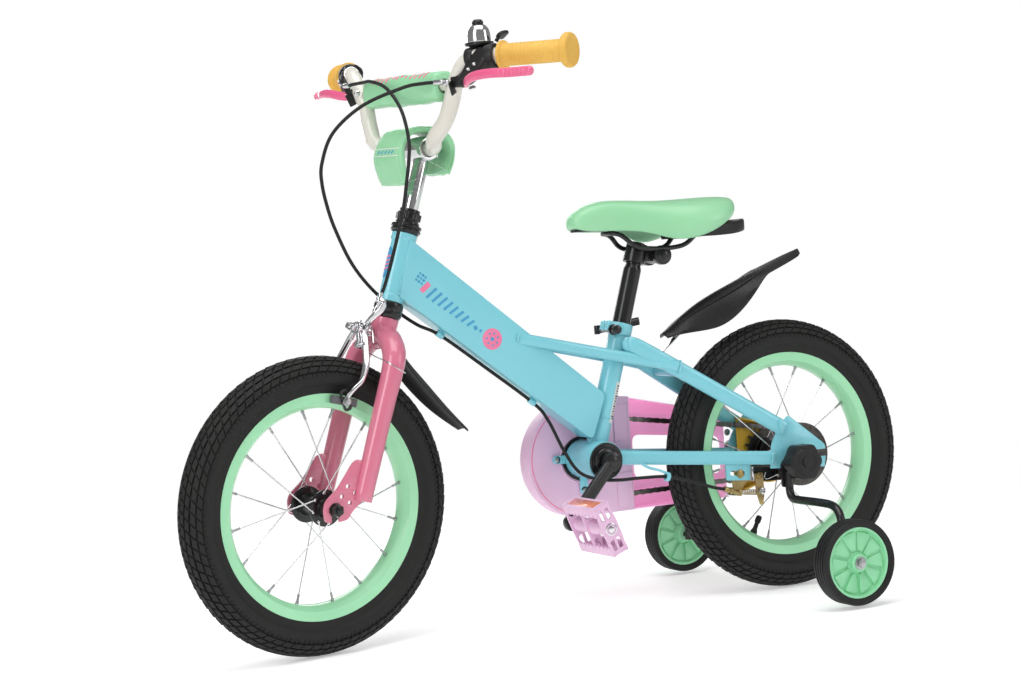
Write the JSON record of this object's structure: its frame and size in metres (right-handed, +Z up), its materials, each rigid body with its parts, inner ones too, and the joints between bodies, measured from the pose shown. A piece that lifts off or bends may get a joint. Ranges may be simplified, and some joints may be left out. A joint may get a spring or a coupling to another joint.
{
  "type": "kids bike",
  "caption": "Small child's bicycle with stabiliser wheels, hand brakes, padded handlebar, closed chain guard and mudguards, in pastel colours.",
  "frame": {"origin": "on the ground, midway between the two wheel axles", "axes": "+X forward, +Y to the rider's left, +Z up; the front end rests steered 10.07 degrees to the left"},
  "size_m": [1.148, 0.5659, 0.8222],
  "materials": {
    "sky_paint": "gloss sky blue",
    "pink_paint": "gloss pink",
    "pink_plastic": "pink moulding",
    "mint_paint": "gloss mint",
    "mint_vinyl": "smooth mint vinyl",
    "cream_paint": "gloss cream",
    "yellow_rubber": "matt yellow",
    "yellow_plastic": "yellow moulding",
    "lavender_plastic": "lavender moulding",
    "black_tyre": "matt black",
    "black_rubber": "black sheath",
    "black_plastic": "black moulding",
    "black_paint": "gloss black",
    "chrome": "bright",
    "steel": "plain steel",
    "brass": "yellow passivated steel"
  },
  "bodies": {
    "frame": {"frame": "sky_paint", "headset_lower_cup": "black_paint", "headset_upper_cup": "black_paint", "bottom_bracket": "black_paint", "rear_axle": "black_paint", "chain": "black_paint", "chain_guard_case": "lavender_plastic", "chain_guard_channel": "pink_plastic", "chain_guard_tail": "yellow_plastic", "rear_mudguard": "black_plastic", "rear_mudguard_strut": "chrome", "rear_brake_band": "brass", "seat_skewer": "black_paint", "stabiliser_arm_left": "black_paint", "stabiliser_arm_right": "black_paint", "stabiliser_knob_left": "black_plastic", "stabiliser_knob_right": "black_plastic", "rear_brake_cable": "black_rubber"},
    "front_end": {"fork": "pink_paint", "headset_locknut": "black_paint", "stem": "chrome", "handlebar": "cream_paint", "crossbar_pad": "mint_vinyl", "stem_pad": "mint_vinyl", "front_axle": "black_paint", "front_mudguard": "black_plastic", "grip_left": "yellow_rubber", "grip_right": "yellow_rubber", "brake_lever_bracket_left": "black_plastic", "brake_lever_bracket_right": "black_plastic", "bell_base": "black_plastic", "bell_dome": "chrome", "caliper_bolt": "chrome", "front_brake_cable": "black_rubber"},
    "front_wheel": {"front_tyre": "black_tyre", "front_rim": "mint_paint", "front_hub_and_spokes": "chrome"},
    "rear_wheel": {"rear_tyre": "black_tyre", "rear_rim": "mint_paint", "rear_hub_and_spokes": "chrome"},
    "freewheel": {"freewheel_sprocket": "steel"},
    "crankset": {"crank": "black_paint", "chainring": "steel"},
    "left_pedal": {"pedal_left": "lavender_plastic"},
    "right_pedal": {"pedal_right": "lavender_plastic"},
    "left_brake_lever": {"brake_lever_left": "pink_paint"},
    "right_brake_lever": {"brake_lever_right": "pink_paint"},
    "bell_lever": {"bell_thumb": "black_plastic"},
    "left_caliper_arm": {"caliper_arm_left": "chrome"},
    "right_caliper_arm": {"caliper_arm_right": "chrome"},
    "band_brake_arm": {"rear_brake_arm": "brass"},
    "seat": {"seat_post": "black_paint", "saddle_frame": "black_paint", "saddle_base": "black_plastic", "saddle_cover": "mint_vinyl"},
    "seat_clamp_lever": {"seat_lever": "black_paint"},
    "left_stabiliser_wheel": {"stabiliser_tyre_left": "black_plastic", "stabiliser_hub_left": "mint_paint"},
    "right_stabiliser_wheel": {"stabiliser_tyre_right": "black_plastic", "stabiliser_hub_right": "mint_paint"}
  },
  "joints": [
    {"name": "steering", "type": "hinge", "parent": "frame", "child": "front_end", "pos_m": [0.233, 0, 0.5087], "axis": [-0.3007, 0, 0.9537], "range_deg": [-55, 35], "deforming": ["rear_brake_cable"]},
    {"name": "front_wheel_spin", "type": "hinge", "parent": "front_end", "child": "front_wheel", "pos_m": [0.37437, 0.00745, 0.1998], "axis": [-0.1668, 0.9846, -0.0526], "continuous": true},
    {"name": "rear_wheel_spin", "type": "hinge", "parent": "frame", "child": "rear_wheel", "pos_m": [-0.375, 0, 0.2], "axis": [0, 1, 0], "continuous": true},
    {"name": "crank_spin", "type": "hinge", "parent": "frame", "child": "crankset", "pos_m": [-0.052, 0, 0.22], "axis": [0, 1, 0], "continuous": true},
    {"name": "freewheel_spin", "type": "hinge", "parent": "frame", "child": "freewheel", "pos_m": [-0.375, 0, 0.2], "axis": [0, 1, 0], "continuous": true},
    {"name": "left_pedal_spin", "type": "hinge", "parent": "crankset", "child": "left_pedal", "pos_m": [0.02803, 0.137, 0.14497], "axis": [0, 1, 0], "continuous": true},
    {"name": "right_pedal_spin", "type": "hinge", "parent": "crankset", "child": "right_pedal", "pos_m": [-0.13203, -0.137, 0.29503], "axis": [0, 1, 0], "continuous": true},
    {"name": "left_brake_squeeze", "type": "hinge", "parent": "front_end", "child": "left_brake_lever", "pos_m": [0.17605, 0.14508, 0.74345], "axis": [0.4382, 0.358, 0.8245], "range_deg": [0, 13], "stiffness_Nm_per_rad": 1.2, "springref_deg": -17.19},
    {"name": "right_brake_squeeze", "type": "hinge", "parent": "front_end", "child": "right_brake_lever", "pos_m": [0.22274, -0.13061, 0.75817], "axis": [-0.517, 0.1069, -0.8493], "range_deg": [0, 13], "stiffness_Nm_per_rad": 1.2, "springref_deg": -17.19},
    {"name": "left_caliper_pivot", "type": "hinge", "parent": "front_end", "child": "left_caliper_arm", "pos_m": [0.28944, 0.00525, 0.42793], "axis": [-0.939, -0.1749, -0.2961], "range_deg": [0, 0.8]},
    {"name": "right_caliper_pivot", "type": "hinge", "parent": "front_end", "child": "right_caliper_arm", "pos_m": [0.28944, 0.00525, 0.42793], "axis": [0.939, 0.1749, 0.2961], "range_deg": [0, 0.8]},
    {"name": "band_brake_pivot", "type": "hinge", "parent": "frame", "child": "band_brake_arm", "pos_m": [-0.3, 0.0435, 0.175], "axis": [0, -1, 0], "range_deg": [0, 8]},
    {"name": "bell_lever_push", "type": "hinge", "parent": "front_end", "child": "bell_lever", "pos_m": [0.14686, 0.16888, 0.78713], "axis": [0.0546, 0.0625, 0.9965], "range_deg": [0, 18], "stiffness_Nm_per_rad": 0.05, "springref_deg": -14.32},
    {"name": "seat_height", "type": "slide", "parent": "frame", "child": "seat", "axis": [-0.2924, 0, 0.9563], "range_m": [-0.05, 0.055]},
    {"name": "seat_clamp_lever_swing", "type": "hinge", "parent": "frame", "child": "seat_clamp_lever", "pos_m": [-0.0888, -0.0335, 0.4034], "axis": [0, 0, 1], "range_deg": [0, 165]},
    {"name": "left_stabiliser_spin", "type": "hinge", "parent": "frame", "child": "left_stabiliser_wheel", "pos_m": [-0.327, 0.229, 0.0635], "axis": [0, 1, 0], "continuous": true},
    {"name": "right_stabiliser_spin", "type": "hinge", "parent": "frame", "child": "right_stabiliser_wheel", "pos_m": [-0.327, -0.229, 0.0635], "axis": [0, 1, 0], "continuous": true}
  ],
  "couplings": [
    {"joint": "freewheel_spin", "follows": "crank_spin", "ratio": 1.6667},
    {"joint": "left_caliper_pivot", "follows": "right_brake_squeeze", "ratio": 0.0615},
    {"joint": "right_caliper_pivot", "follows": "right_brake_squeeze", "ratio": 0.0615},
    {"joint": "band_brake_pivot", "follows": "left_brake_squeeze", "ratio": 0.6}
  ]
}
